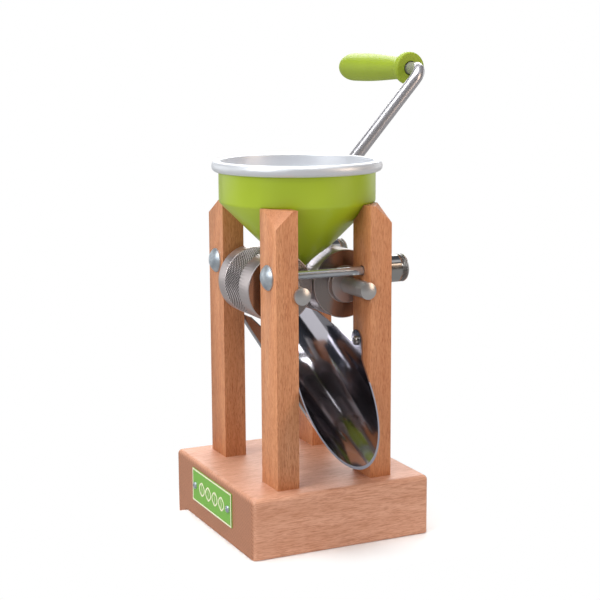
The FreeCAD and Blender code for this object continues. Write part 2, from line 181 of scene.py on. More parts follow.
@dataclass(frozen=True)
class OiledBeech(Finish):
    """Steamed beech, planed and oiled: pinkish tan, short dark ray flecks along the grain.

    A size of two numbers is along the grain and across it. The fibre and the flecks are drawn coarser than real ones,
    which would be too fine to show.
    """

    grain: str
    light: str = "#E2AB86"
    mid: str = "#D39366"
    dark: str = "#BA754A"
    end_grain: str = "#A86C48"
    streak: str = "#A55A2E"
    streak_mm: tuple[float, float] = (7.0, 0.95)
    streak_depth: float = 0.65
    fleck: str = "#8A3F1E"
    fleck_mm: tuple[float, float] = (2.8, 0.45)
    fleck_depth: float = 0.32
    patch_mm: tuple[float, float] = (30.0, 8.0)
    fibre_mm: tuple[float, float] = (14.0, 0.5)
    year_mm: tuple[float, float] = (160.0, 9.0)
    ring_mm: Triple = (1.4286, 1.0, -0.76923)
    tone: float = 0.0

    def cell(self, along_mm: float, across_mm: float) -> Triple:
        """Size of a pattern cell along X, Y and Z."""
        return tuple(along_mm if axis == self.grain else across_mm for axis in "xyz")

    def inputs(self, tree: Tree) -> dict:
        """Slow tone bands and fine fibre, then streaks and ray flecks over them, and rings on the sawn ends.

        Args:
            tree: the material's node tree.

        Returns:
            The shader's inputs.
        """
        shift = (0.13 * self.tone, 0.29 * self.tone, 0.41 * self.tone)
        bands, fibre, wave, patches = (
            add_node(tree, "TexNoise", {"Vector": place(tree, self.cell(*size_mm), shift), "Scale": 1.0,
                                        "Detail": detail, "Roughness": rough, "Distortion": twist})
            for size_mm, detail, rough, twist in (
                (self.year_mm, 3.0, 0.55, 0.0), (self.fibre_mm, 4.0, 0.6, 0.0),
                (self.streak_mm, 3.0, 0.6, 0.7), (self.patch_mm, 2.0, 0.5, 0.0)))
        calm = add_node(tree, "MapRange", {"Value": bands, "To Min": 0.3, "To Max": 0.72})
        tone = add_node(tree, "Math", {0: fibre, 1: 0.5, 2: calm}, operation="MULTIPLY_ADD")
        tone = add_node(tree, "Math", {0: tone, 1: self.tone * 0.1}, operation="ADD")
        ground = add_node(tree, "ValToRGB", {0: tone}, [(0.48, self.light), (0.72, self.mid), (0.98, self.dark)])
        ripple = add_node(tree, "MapRange", {"Value": wave, "From Min": 0.46, "From Max": 0.68,
                                             "To Max": self.streak_depth})
        cells = add_node(tree, "TexVoronoi", {"Vector": place(tree, self.cell(*self.fleck_mm), shift), "Scale": 0.62,
                                              "Randomness": 1.0})
        size = add_node(tree, "MapRange", {"Value": patches, "From Min": 0.3, "From Max": 0.65, "To Min": 0.22,
                                           "To Max": 0.44})
        inside = add_node(tree, "Math", {0: size, 1: cells.outputs["Distance"]}, operation="SUBTRACT")
        flecks = add_node(tree, "MapRange", {"Value": inside, "From Max": 0.12, "To Max": self.fleck_depth})
        facing = add_node(tree, "SeparateXYZ", {0: add_node(tree, "TexCoord").outputs["Normal"]})
        facing = add_node(tree, "Math", {0: facing.outputs["xyz".index(self.grain)]}, operation="ABSOLUTE")
        ends = add_node(tree, "MapRange", {"Value": facing, "From Min": 0.6, "From Max": 0.95})
        rings = add_node(tree, "TexWave", {"Vector": place(tree, self.ring_mm), "Scale": 0.15, "Distortion": 5.0,
                                           "Detail": 2.0, "Detail Scale": 0.6}, bands_direction="DIAGONAL")
        ringed = add_node(tree, "Math", {0: rings.outputs[1], 1: 0.35, 2: fibre}, operation="MULTIPLY_ADD")
        sawn = add_node(tree, "ValToRGB", {0: ringed}, [(0.3, self.end_grain), (1.0, self.dark)])
        colour = ground
        for share, over in ((ripple, srgb(self.streak)), (flecks, srgb(self.fleck)), (ends, sawn)):
            colour = add_node(tree, "Mix", {"Factor": share, 6: colour, 7: over}, data_type="RGBA").outputs[2]
        oiled = add_node(tree, "MapRange", {"Value": fibre, "To Min": 0.38, "To Max": 0.58})
        normal = add_node(tree, "Bump", {"Height": fibre, "Distance": 0.05 * MM, "Strength": 0.5})
        normal = add_node(tree, "Bump", {"Height": ripple, "Distance": -0.05 * MM, "Strength": 0.5,
                                         "Normal": normal})
        return {"Base Color": colour, "Roughness": oiled, "Normal": normal, "IOR": 1.5}


@dataclass(frozen=True)
class Lacquer(Finish):
    """Sprayed colour lacquer: smooth body, faint orange peel, thin clear coat and dust-fine wear."""

    colour: str
    shade: str
    roughness: float
    coat: float
    cloud_mm: float = 55.56
    peel_mm: float = 1.11
    scuff_mm: float = 8.33

    def inputs(self, tree: Tree) -> dict:
        """Two near shades in slow clouds, a fine peel and patches of a duller gloss.

        Args:
            tree: the material's node tree.

        Returns:
            The shader's inputs.
        """
        cloud, peel, scuff = (
            add_node(tree, "TexNoise", {"Vector": place(tree, cell_mm), "Scale": 1.0, "Detail": detail})
            for cell_mm, detail in ((self.cloud_mm, 2.0), (self.peel_mm, 1.0), (self.scuff_mm, 4.0)))
        colour = add_node(tree, "ValToRGB", {0: cloud}, [(0.3, self.colour), (0.75, self.shade)])
        worn = add_node(tree, "MapRange", {"Value": scuff, "To Min": self.roughness - 0.05,
                                           "To Max": self.roughness + 0.1})
        skin = add_node(tree, "Bump", {"Height": peel, "Distance": 0.006 * MM, "Strength": 0.1})
        return {"Base Color": colour, "Roughness": worn, "Normal": skin, "IOR": 1.5, "Coat Weight": self.coat,
                "Coat Roughness": 0.25}


@dataclass(frozen=True)
class TurnedMetal(Finish):
    """Metal finished on a lathe: hair-fine rings round an axis, and painted shade in a knurl's grooves.

    The rings are drawn coarser than a fine cut leaves them, so that they show.
    """

    colour: str
    roughness: float
    axis: str
    centre: Triple
    ring_mm: float = 0.35
    depth_mm: float = 0.01
    metallic: float = 1.0
    groove_mm: tuple[float, float] | None = None
    # colour painted into the knurl's grooves as shade
    groove_shade_colour: str = "#3A3430"
    smear_mm: float = 11.11

    def inputs(self, tree: Tree) -> dict:
        """The rings are noise read by distance along the axis and from it.

        Args:
            tree: the material's node tree.

        Returns:
            The shader's inputs.
        """
        local = place(tree, 1.0, self.centre)
        split = add_node(tree, "SeparateXYZ", {0: local}).outputs
        across = [split[i] for i in range(3) if "xyz"[i] != self.axis]
        flat = add_node(tree, "CombineXYZ", dict(enumerate(across)))
        radius = add_node(tree, "VectorMath", {0: flat}, operation="LENGTH").outputs["Value"]
        ring = add_node(tree, "CombineXYZ", {0: split["xyz".index(self.axis)], 1: radius})
        colour = srgb(self.colour)
        if self.groove_mm is not None:
            deep, peak = self.groove_mm
            # painted shade: the colour darkens from the tooth tops down to the groove bottoms
            painted_groove_shade = add_node(tree, "MapRange", {"Value": radius, "From Min": deep, "From Max": peak})
            colour = add_node(tree, "ValToRGB", {0: painted_groove_shade}, [(0.3, self.groove_shade_colour), (0.85, self.colour)])
        lines = add_node(tree, "TexNoise", {"Vector": ring, "Scale": 1 / self.ring_mm, "Detail": 3.0,
                                            "Roughness": 0.7})
        smear = add_node(tree, "TexNoise", {"Vector": local, "Scale": 1 / self.smear_mm, "Detail": 3.0})
        mixed = add_node(tree, "Math", {0: lines, 1: smear}, operation="MULTIPLY")
        satin = add_node(tree, "MapRange", {"Value": mixed, "From Max": 0.6, "To Min": self.roughness * 0.7,
                                            "To Max": self.roughness * 1.5})
        cut = add_node(tree, "Bump", {"Height": lines, "Distance": self.depth_mm * MM, "Strength": 0.6})
        return {"Base Color": colour, "Metallic": self.metallic, "Roughness": satin, "Normal": cut}


@dataclass(frozen=True)
class DrawnMetal(Finish):
    """Drawn or rolled metal: fine lines along one direction, polished over."""

    colour: str
    roughness: float
    line_mm: Triple = (2.5, 2.5, 50.0)
    depth_mm: float = 0.001
    metallic: float = 1.0
    mark_mm: float = 16.67

    def inputs(self, tree: Tree) -> dict:
        """Lines in the normal, handling marks in the roughness.

        Args:
            tree: the material's node tree.

        Returns:
            The shader's inputs.
        """
        lines, marks = (
            add_node(tree, "TexNoise", {"Vector": place(tree, cell_mm), "Scale": 1.0, "Detail": detail})
            for cell_mm, detail in ((self.line_mm, 3.0), (self.mark_mm, 4.0)))
        worn = add_node(tree, "MapRange", {"Value": marks, "To Min": self.roughness * 0.85,
                                           "To Max": self.roughness * 1.25})
        drawn = add_node(tree, "Bump", {"Height": lines, "Distance": self.depth_mm * MM, "Strength": 0.25})
        return {"Base Color": srgb(self.colour), "Metallic": self.metallic, "Roughness": worn, "Normal": drawn}


@dataclass(frozen=True)
class ZincPlate(Finish):
    """Bright zinc plating: bluish silver with faint cloudy patches and small handling dents."""

    light: str = "#D6DEE5"
    dark: str = "#AAB5BF"
    cloud_mm: float = 5.556
    dent_mm: float = 2.0

    def inputs(self, tree: Tree) -> dict:
        """Patches in the colour and the roughness, dents in the normal.

        Args:
            tree: the material's node tree.

        Returns:
            The shader's inputs.
        """
        cloud, dents = (
            add_node(tree, "TexNoise", {"Vector": place(tree, cell_mm), "Scale": 1.0, "Detail": detail})
            for cell_mm, detail in ((self.cloud_mm, 5.0), (self.dent_mm, 2.0)))
        colour = add_node(tree, "ValToRGB", {0: cloud}, [(0.35, self.light), (0.7, self.dark)])
        dull = add_node(tree, "MapRange", {"Value": cloud, "To Min": 0.32, "To Max": 0.55})
        dented = add_node(tree, "Bump", {"Height": dents, "Distance": 0.03 * MM, "Strength": 0.4})
        return {"Base Color": colour, "Metallic": 0.85, "Roughness": dull, "Normal": dented}


@dataclass(frozen=True)
class PrintedPlate(Finish):
    """Printed aluminium: even colour, a very fine grained print film over the metal."""

    colour: str
    film_mm: float = 0.667

    def inputs(self, tree: Tree) -> dict:
        """An even colour under a thin coat, the film's grain in the normal.

        Args:
            tree: the material's node tree.

        Returns:
            The shader's inputs.
        """
        film = add_node(tree, "TexNoise", {"Vector": place(tree, self.film_mm), "Scale": 1.0})
        grain = add_node(tree, "Bump", {"Height": film, "Distance": 0.01 * MM, "Strength": 0.3})
        return {"Base Color": srgb(self.colour), "Roughness": 0.38, "Normal": grain, "IOR": 1.5, "Coat Weight": 0.3,
                "Coat Roughness": 0.2}


# ---------------------------------------------------------------- surfaces
def link(piece: bpy.types.Object) -> bpy.types.Object:
    """Puts an object in the scene and gives it back."""
    bpy.context.scene.collection.objects.link(piece)
    return piece


def surface(name: str, points: np.ndarray, closed_u: bool = False, sharp_deg: float = 32.0,
            rows: np.ndarray | None = None, solid: bool = True) -> bpy.types.Object:
    """Turns a grid of points into a mesh object.

    Args:
        name: the piece's name.
        points: array (n, m, 3) in metres; neighbours in the grid share an edge.
        closed_u: True where the last column meets the first.
        sharp_deg: edges that turn by more than this are drawn sharp.
        rows: a material index for each of the n - 1 rows of faces.
        solid: True for a closed shell, whose faces are then turned outwards.

    Returns:
        The object, linked to the scene, smooth shaded.
    """
    n, m = points.shape[:2]
    index = np.arange(n * m).reshape(n, m)
    if closed_u:
        index = np.hstack([index, index[:, :1]])
    quads = np.stack([index[:-1, :-1], index[:-1, 1:], index[1:, 1:], index[1:, :-1]], axis=-1)
    mesh = bpy.data.meshes.new(name)
    mesh.from_pydata(points.reshape(-1, 3), [], quads.reshape(-1, 4))
    if rows is not None:
        mesh.polygons.foreach_set("material_index", np.repeat(rows, quads.shape[1]).astype(np.int32))
    work = bmesh.new()
    work.from_mesh(mesh)
    bmesh.ops.remove_doubles(work, verts=work.verts, dist=1e-7)
    if solid:
        bmesh.ops.recalc_face_normals(work, faces=work.faces)
    work.to_mesh(mesh)
    work.free()
    mesh.shade_smooth()
    mesh.set_sharp_from_angle(angle=np.radians(sharp_deg))
    return link(bpy.data.objects.new(name, mesh))


def eased(corners: Sequence[tuple[float, float]], round_mm: float, steps: int = 4) -> np.ndarray:
    """A profile whose inner corners are replaced by small arcs.

    Each arc is a quadratic curve from a point just before the corner to one just after it.

    Args:
        corners: (radius, along) in metres.
        round_mm: how far before and after a corner the arc begins and ends, at most 0.45 of the shorter side.
        steps: points on each arc.

    Returns:
        The profile as an array (k, 2).
    """
    points = np.array(corners, float)
    out = [points[:1]]
    t = np.linspace(0, 1, steps)[:, None]
    for before, corner, after in zip(points[:-2], points[1:-1], points[2:]):
        legs = np.array([before, after]) - corner
        lengths = np.linalg.norm(legs, axis=1)
        reach = min(round_mm * MM, 0.45 * lengths.min())
        start, end = corner + legs / np.maximum(lengths, 1e-9)[:, None] * reach
        out.append((1 - t) ** 2 * start + 2 * t * (1 - t) * corner + t ** 2 * end)
    out.append(points[-1:])
    return np.vstack(out)


def lathe(profile: np.ndarray, centre: np.ndarray, axis: str, turns: int, relief: Relief | None = None) -> np.ndarray:
    """A surface of revolution: point = centre + axis * along + radius * (cos t * e1 + sin t * e2).

    Args:
        profile: (radius, along) rows in metres.
        centre: a point on the axis.
        axis: "x", "y" or "z".
        turns: number of points round the axis.
        relief: gives a change of radius from (angle, along) arrays.

    Returns:
        The grid of points, (rows, turns, 3).
    """
    way = AXIS[axis]
    first = AXIS["z" if axis != "z" else "x"]
    second = np.cross(way, first)
    t = np.linspace(0, FULL_TURN, turns, endpoint=False)[None, :]
    radius = np.repeat(profile[:, :1], turns, axis=1)
    along = np.repeat(profile[:, 1:], turns, axis=1)
    if relief is not None:
        radius = radius + relief(np.repeat(t, len(profile), axis=0), along)
    return (centre + along[..., None] * way + (radius * np.cos(t))[..., None] * first
            + (radius * np.sin(t))[..., None] * second)


def ridge(phase: np.ndarray) -> np.ndarray:
    """A triangle wave from 0 to 1, one peak in each unit of phase."""
    return 1 - np.abs(2 * (phase - np.floor(phase)) - 1)


@dataclass(frozen=True)
class Knurl:
    """A diamond knurl on a band of a turned piece: two crossing sets of flat-topped ridges. Metres.

    The lean is the ridges' spacing along the axis divided by that round it. The flat is the part of a ridge's height
    that its sides take up, and the run-out is the part of a pitch in which the teeth fade at the band's ends.
    """

    start: float
    end: float
    radius: float
    pitch: float
    depth: float
    lean: float = 1.0
    flat: float = 0.75
    run_out: float = 0.25

    @property
    def teeth(self) -> int:
        """Number of teeth round the axis."""
        return round(FULL_TURN * self.radius / self.pitch)

    def holds(self, profile: np.ndarray, inner: float) -> np.ndarray:
        """Which rows of faces lie in the band.

        Args:
            profile: (radius, along) rows in metres.
            inner: radius that the faces have to lie outside of.

        Returns:
            True or False for each of the profile's sides.
        """
        middle = (profile[:-1] + profile[1:]) / 2
        return (middle[:, 1] > self.start) & (middle[:, 1] < self.end) & (middle[:, 0] > inner)

    def relief(self, angle: np.ndarray, along: np.ndarray) -> np.ndarray:
        """Change of radius: minus the depth times how far below the peak a point is, and nothing off the band.

        Args:
            angle: angles round the axis.
            along: places along the axis.

        Returns:
            The change at each point.
        """
        u = angle * self.teeth / FULL_TURN
        v = (along - self.start) / (self.pitch * self.lean)
        height = np.clip(np.minimum(ridge(u + v), ridge(u - v)) / self.flat, 0, 1)
        inside = np.minimum(along - self.start, self.end - along)
        return -self.depth * (1 - height) * np.clip(inside / (self.run_out * self.pitch), 0, 1)


@dataclass(frozen=True)
class CrossHead:
    """A pan head with a cross recess, whose arms narrow outwards.

    Height over the flat is height * sqrt(1 - droop * r^4), less the sunk cross. The cross is sized in parts of the
    head's radius, and its depth in parts of the head's height.
    """

    radius: float
    height: float
    droop: float = 0.75
    arm: float = 0.13
    arm_side: float = 0.05
    reach: float = 0.62
    reach_side: float = 0.12
    sink: float = 0.55

    def build(self, name: str, centre: np.ndarray, way: np.ndarray, turned_deg: float) -> bpy.types.Object:
        """Builds the head.

        Args:
            name: the piece's name.
            centre: middle of the head's flat side.
            way: unit direction that the head looks in.
            turned_deg: how far the cross is turned.

        Returns:
            The head.
        """
        side = np.cross(way, AXIS["z"])
        up = np.cross(way, side)
        r, t = np.meshgrid(np.concatenate([np.linspace(0.0, 0.97, 26), [1.0, 1.0]]),
                           np.linspace(0, FULL_TURN, 96, endpoint=False), indexing="ij")
        h = np.sqrt(np.clip(1 - self.droop * r ** 4, 0, 1))
        h[-1] = 0
        turn = t + np.radians(turned_deg)
        across = np.sort(np.abs([r * np.sin(turn), r * np.cos(turn)]), axis=0)
        arm = np.clip((self.arm - across[0]) / self.arm_side, 0, 1)
        reach = np.clip((self.reach - across[1]) / self.reach_side, 0, 1)
        h = h - self.sink * arm * reach * (h > 0)
        points = (centre + (self.height * h)[..., None] * way + (self.radius * r * np.cos(t))[..., None] * side
                  + (self.radius * r * np.sin(t))[..., None] * up)
        return surface(name, points, closed_u=True, solid=False, sharp_deg=40)


def softened(node: str, name: str, width_mm: float) -> bpy.types.Object:
    """A copy of a CAD node with its doubles merged and its edges eased by a bevel.

    Args:
        node: the CAD node, which the copy stands for.
        name: the piece's name.
        width_mm: the bevel's width.

    Returns:
        The copy.
    """
    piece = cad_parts[node].copy()
    piece.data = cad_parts[node].data.copy()
    piece.name = name
    link(piece)
    work = bmesh.new()
    work.from_mesh(piece.data)
    bmesh.ops.remove_doubles(work, verts=work.verts, dist=1e-6)
    bmesh.ops.dissolve_limit(work, angle_limit=np.radians(0.6), verts=work.verts, edges=work.edges)
    work.to_mesh(piece.data)
    work.free()
    piece.data.shade_smooth()
    edge = piece.modifiers.new("eased edges", "BEVEL")
    edge.width = width_mm * MM
    edge.segments = 2
    edge.limit_method = "ANGLE"
    edge.angle_limit = np.radians(28)
    edge.harden_normals = True
    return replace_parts(piece, node)


def dress(piece: bpy.types.Object, *materials: bpy.types.Material) -> None:
    """Gives a piece its materials.

    Args:
        piece: a piece or a CAD node's object.
        materials: its materials, in order.
    """
    if len(piece.data.materials):
        piece.data.materials.clear()
    for material in materials:
        piece.data.materials.append(material)


def settle(piece: bpy.types.Object, body: Body, slot: str, *materials: bpy.types.Material) -> bpy.types.Object:
    """Dresses a new piece and lets it ride on a body.

    Args:
        piece: the new piece.
        body: what it moves with.
        slot: the record's material slot; not used.
        materials: the piece's materials.

    Returns:
        The piece.
    """
    dress(piece, *materials)
    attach(piece, body.value)
    LOG.info("piece %s rides on %s, %d vertices", piece.name, body.value, len(piece.data.vertices))
    return piece


def corners(node: str) -> tuple[np.ndarray, np.ndarray]:
    """Lowest and highest corner of a CAD node as arrays."""
    low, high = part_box(node)
    return np.array(low), np.array(high)


# ---------------------------------------------------------------- sub-assemblies
@dataclass
class Woodwork:
    """The block and its four posts."""

    edge_mm: float = 0.6
    tones: tuple[float, ...] = (0.15, 0.7, 0.5, 0.35)

    def build(self) -> None:
        """Eases the posts' edges and dresses all the wood."""
        names = ("post_front_left", "post_front_right", "post_rear_left", "post_rear_right")
        for node, tone in zip(names, self.tones):
            wood = OiledBeech("beech_" + node, "z", tone=tone).make()
            settle(softened(node, "beech_" + node, self.edge_mm), Body.FRAME, "beech", wood)
        block = OiledBeech("beech_block", "x", light="#E4B498", mid="#D8A286", dark="#BE8464", end_grain="#8C583E",
                           streak="#A8683F", streak_mm=(15.0, 1.0), fleck="#9A5632", fleck_mm=(4.0, 0.5),
                           year_mm=(160.0, 14.0), tone=0.1)
        dress(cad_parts["base"], block.make())


@dataclass
class NamePlate:
    """Green plate with a pale border and a row of plain nut outlines, held by two screws."""

    inset_mm: float = 0.02
    border_mm: float = 1.3
    raised_mm: float = 0.12
    motif_count: int = 4
    motif_step_mm: float = 14.5
    nut_mm: tuple[float, float] = (5.4, 6.6)
    nut_hollow: float = 0.78
    seam_mm: tuple[float, float] = (0.45, 4.4)
    seam_wave_mm: float = 0.55
    screw_turns_deg: tuple[float, float] = (20, 70)

    def strip(self, name: str, outline: np.ndarray, inner: np.ndarray, face: float) -> bpy.types.Object:
        """A flat raised ring between two outlines on the plate.

        Args:
            name: the piece's name.
            outline: outer (y, z) points.
            inner: inner (y, z) points, as many.
            face: x of the plate's face.

        Returns:
            The ring, with its sides.
        """
        top = face - self.raised_mm * MM
        levels = [(outline, face), (outline, top), (inner, top), (inner, face)]
        rows = [np.column_stack([np.full(len(loop), x), loop]) for loop, x in levels]
        return surface(name, np.array(rows + rows[:1]), closed_u=True)

    def rings(self) -> dict[str, tuple[np.ndarray, np.ndarray]]:
        """Outer and inner (y, z) outlines of all that is raised on the plate.

        A nut is an ellipse times 1 + 0.12 cos 2t + 0.05 cos 4t; its seam is a band that waves like a sine.

        Returns:
            The two outlines by the piece's name.
        """
        low, high = corners("name_plate")
        middle, half = (low + high)[1:] / 2, (high - low)[1:] / 2
        corner = np.array([[-1, -1], [1, -1], [1, 1], [-1, 1]])
        rings = {"plate_border": tuple(middle + corner * (half - edge * MM) for edge in (self.inset_mm, self.border_mm))}
        t = np.linspace(0, FULL_TURN, 72, endpoint=False)
        pinch = 1 + 0.12 * np.cos(2 * t) + 0.05 * np.cos(4 * t)
        nut = np.column_stack([np.cos(t), np.sin(t)]) * np.array(self.nut_mm) * MM * pinch[:, None]
        thick, tall = np.array(self.seam_mm) * MM
        wave = self.seam_wave_mm * MM * np.sin(np.linspace(0, 3 * np.pi, 24))
        left, right = (np.column_stack([wave + side * thick, np.linspace(-tall, tall, 24)]) for side in (-1, 1))
        edge, back = np.vstack([left, right[::-1]]), np.vstack([right, left[::-1]])
        for i in range(self.motif_count):
            at = middle + np.array([(i - (self.motif_count - 1) / 2) * self.motif_step_mm * MM, 0])
            rings[f"plate_nut_{i}"] = (at + nut, at + nut * self.nut_hollow)
            rings[f"plate_seam_{i}"] = (at + edge, at + (edge + back) / 2)
        return rings

    def build(self) -> None:
        """Builds the border, the motif and the screw heads."""
        face = corners("name_plate")[0][0]
        dress(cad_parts["name_plate"], PrintedPlate("printed_green", "#74B23A").make())
        cream = PrintedPlate("printed_cream", "#EDEBCB").make()
        for name, (outline, inner) in self.rings().items():
            settle(self.strip(name, outline, inner, face), Body.FRAME, "plate_green", cream)
        low, high = corners("plate_screws")
        radius = (high[2] - low[2]) / 2
        zinc = ZincPlate("zinc_plate_screws").make()
        for i, y in enumerate((low[1] + radius, high[1] - radius)):
            centre = np.array([face, y, (low[2] + high[2]) / 2])
            head = CrossHead(radius, face - low[0]).build(f"plate_screw_{i}", centre, -AXIS["x"],
                                                          self.screw_turns_deg[i])
            settle(head, Body.FRAME, "zinc_steel", zinc)
            if i == 0:
                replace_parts(head, "plate_screws")


@dataclass
class Roller:
    """A steel roller: plain ground bands, diamond knurl between them, a boss at each end."""

    node: str
    body: Body
    edge_mm: float = 0.8
    band_front_mm: float = 19.5
    band_rear_mm: float = 14.2
    boss_radius_mm: float = 15.0
    boss_front_mm: float = 6.0
    boss_rear_mm: float = 4.0
    bore_mm: float = 7.05
    pitch_mm: float = 2.7
    depth_mm: float = 0.8
    lean: float = 1.35
    points_per_tooth: int = 6

    def build(self) -> None:
        """Builds the roller with its knurl and dresses it."""
        low, high = corners(self.node)
        centre = (low + high) / 2 * np.array([1, 0, 1])
        radius = (high[0] - low[0]) / 2
        front = low[1] + self.boss_front_mm * MM
        rear = high[1] - self.boss_rear_mm * MM
        edge, boss, bore = self.edge_mm * MM, self.boss_radius_mm * MM, self.bore_mm * MM
        start, end = front + self.band_front_mm * MM, rear - self.band_rear_mm * MM
        knurl = Knurl(start, end, radius, self.pitch_mm * MM, self.depth_mm * MM, self.lean)
        head = eased([(bore, low[1]), (boss, low[1]), (boss, front), (radius, front), (radius, start)], self.edge_mm)
        tail = eased([(radius, end), (radius, rear), (boss, rear), (boss, high[1]), (bore, high[1])], self.edge_mm)
        run = np.linspace(start, end, int((end - start) / (knurl.pitch / self.points_per_tooth)))[1:-1]
        profile = np.vstack([head, np.column_stack([np.full(len(run), radius), run]), tail, head[:1]])
        middle = (profile[:-1, 0] + profile[1:, 0]) / 2
        faced = (middle > boss + edge) & (middle < radius - edge)
        rows = np.where(faced, 2, knurl.holds(profile, boss))
        grid = lathe(profile, centre, "y", knurl.teeth * self.points_per_tooth, knurl.relief)
        piece = surface("knurled_" + self.node, grid, closed_u=True, sharp_deg=38, rows=rows)
        radius_mm = radius / MM
        finishes = (
            TurnedMetal("ground_steel_" + self.node, "#CDC4C4", 0.34, "y", tuple(centre), ring_mm=0.5, depth_mm=0.006,
                        metallic=0.85),
            # knurled band: its grooves are painted near black as shade
            TurnedMetal("knurled_steel_" + self.node, "#E0D6D6", 0.3, "y", tuple(centre), depth_mm=0.003,
                        metallic=0.7, groove_shade_colour="#1C1614", groove_mm=(radius_mm - self.depth_mm, radius_mm)),
            # faced ends: the polish (lower roughness) is real; the darker, browner colour than the bands is a painted
            # dark reflection of the posts and front
            TurnedMetal("faced_steel_painted_reflection_" + self.node, "#A89C98", 0.2, "y", tuple(centre), ring_mm=0.5, depth_mm=0.006),
        )
        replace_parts(settle(piece, self.body, "roller_steel", *(steel.make() for steel in finishes)), self.node)


@dataclass
class ThumbNut:
    """Round nut with a polished body and a knurled outer band, on the end of a tie bolt."""

    end: str
    body: Body
    bore_mm: float = 4.05
    edge_mm: float = 1.4
    band_mm: float = 6.5
    groove_mm: float = 0.35
    dish_mm: float = 0.4
    mouth_mm: float = 1.0
    pitch_mm: float = 1.5
    depth_mm: float = 0.5
    points_per_tooth: int = 5

    def build(self) -> None:
        """Builds the nut: a turned profile whose outer face is dished round the bore."""
        node = "thumb_nut_" + self.end
        low, high = corners(node)
        centre = (low + high) / 2 * np.array([0, 1, 1])
        radius, edge, bore = (high[2] - low[2]) / 2, self.edge_mm * MM, self.bore_mm * MM
        groove, dish, mouth = self.groove_mm * MM, self.dish_mm * MM, self.mouth_mm * MM
        inner, outer = low[0], high[0]
        start, end = outer - self.band_mm * MM, outer - edge
        knurl = Knurl(start, end, radius, self.pitch_mm * MM, self.depth_mm * MM)
        run = np.linspace(start, end, int(np.ceil((end - start) / (knurl.pitch / self.points_per_tooth))) + 1)
        profile = np.vstack([
            [(bore, inner), (radius - edge, inner), (radius, inner + edge * 0.6), (radius, start - groove * 2),
             (radius - groove, start - groove)],
            np.column_stack([np.full(len(run), radius), run]),
            [(radius - edge * 0.5, outer - edge * 0.3), (radius - edge * 1.2, outer),
             (bore + 2.2 * mouth, outer - groove), (bore + mouth, outer - dish), (bore, outer - 1.2 * mouth),
             (bore, inner)]])
        grid = lathe(profile, centre, "x", knurl.teeth * self.points_per_tooth, knurl.relief)
        rows = knurl.holds(profile, radius - edge)
        piece = surface("knurled_nut_" + self.end, grid, closed_u=True, rows=rows)
        radius_mm = radius / MM
        steel = TurnedMetal("turned_nut_" + self.end, "#C4C2BF", 0.16, "x", tuple(centre), ring_mm=0.3,
                            depth_mm=0.006).make()
        # the knurl's grooves take the default painted groove shade
        toothed = TurnedMetal("toothed_nut_" + self.end, "#D6D4D2", 0.25, "x", tuple(centre), depth_mm=0.003,
                              metallic=0.8, groove_mm=(radius_mm - self.depth_mm, radius_mm)).make()
        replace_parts(settle(piece, self.body, "bright_steel", steel, toothed), node)


@dataclass
class TieBolt:
    """Carriage bolt: domed head with a fine rim, square neck, smooth shank, rolled M8 thread."""

    end: str
    dome_mm: float = 5.0
    rim_mm: float = 1.0
    shank_mm: float = 3.55
    thread_mm: float = 4.0
    thread_depth_mm: float = 0.75
    thread_length_mm: float = 30.0
    run_in_mm: float = 0.5
    chamfer_mm: tuple[float, float] = (0.9, 1.0)
    pitch_mm: float = 1.25
    points_per_pitch: int = 10
    neck_mm: float = 8.0
    neck_length_mm: float = 5.0

    def shaft(self, face: float, tip: float) -> tuple[np.ndarray, Relief]:
        """Profile of shank and thread, with the thread's relief.

        The groove is a triangle wave along the axis that shifts by a pitch in each turn.

        Args:
            face: x of the head's flat side.
            tip: x of the bolt's far end.

        Returns:
            The profile, and a function for lathe().
        """
        shank, thread, pitch = self.shank_mm * MM, self.thread_mm * MM, self.pitch_mm * MM
        slim, back = np.array(self.chamfer_mm) * MM
        cut = tip - self.thread_length_mm * MM
        run = np.linspace(cut, tip - back, int(self.thread_length_mm / self.pitch_mm * self.points_per_pitch))
        profile = np.vstack([[(0, face), (shank, face), (shank, cut - self.run_in_mm * MM)],
                             np.column_stack([np.full(len(run), thread), run]), [(thread - slim, tip), (0, tip)]])

        def helix(angle: np.ndarray, along: np.ndarray) -> np.ndarray:
            """Change of radius in the thread."""
            depth = self.thread_depth_mm * MM * (1 - ridge((along - cut) / pitch - angle / FULL_TURN))
            return np.where((along >= cut) & (along <= run[-1]), -depth, 0)
        return profile, helix

    def build(self) -> None:
        """Builds head, neck, shank and thread."""
        node = "carriage_bolt_" + self.end
        low, high = corners(node)
        centre = (low + high) / 2 * np.array([0, 1, 1])
        radius, rise = (high[2] - low[2]) / 2, self.dome_mm * MM
        face = low[0] + rise + self.rim_mm * MM
        ball = (radius ** 2 + rise ** 2) / (2 * rise)
        t = np.linspace(0, np.arcsin(radius / ball), 20)
        cap = np.column_stack([ball * np.sin(t), low[0] + ball * (1 - np.cos(t))])
        dome = lathe(np.vstack([cap, [(radius, face), (0, face)]]), centre, "x", 96)
        zinc = ZincPlate("zinc_bolt_" + self.end).make()
        head = surface("bolt_head_" + self.end, dome, closed_u=True)
        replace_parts(settle(head, Body.FRAME, "zinc_steel", zinc), node)
        profile, helix = self.shaft(face, high[0])
        shaft = surface("bolt_shank_" + self.end, lathe(profile, centre, "x", 48, helix), closed_u=True)
        bright = DrawnMetal("drawn_zinc_" + self.end, "#CCD2D8", 0.2, (50.0, 2.0, 2.0), metallic=0.8).make()
        settle(shaft, Body.FRAME, "zinc_steel", bright)
        ring = np.array([[1, 1], [-1, 1], [-1, -1], [1, -1]]) * self.neck_mm * MM / 2
        back = face + self.neck_length_mm * MM
        layers = [np.column_stack([np.full(4, x), centre[1:] + ring * size])
                  for x, size in ((face, 0), (face, 1), (back, 1), (back, 0))]
        settle(surface("bolt_neck_" + self.end, np.array(layers), closed_u=True), Body.FRAME, "zinc_steel", zinc)
        dress(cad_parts["thumb_washer_" + self.end], zinc)


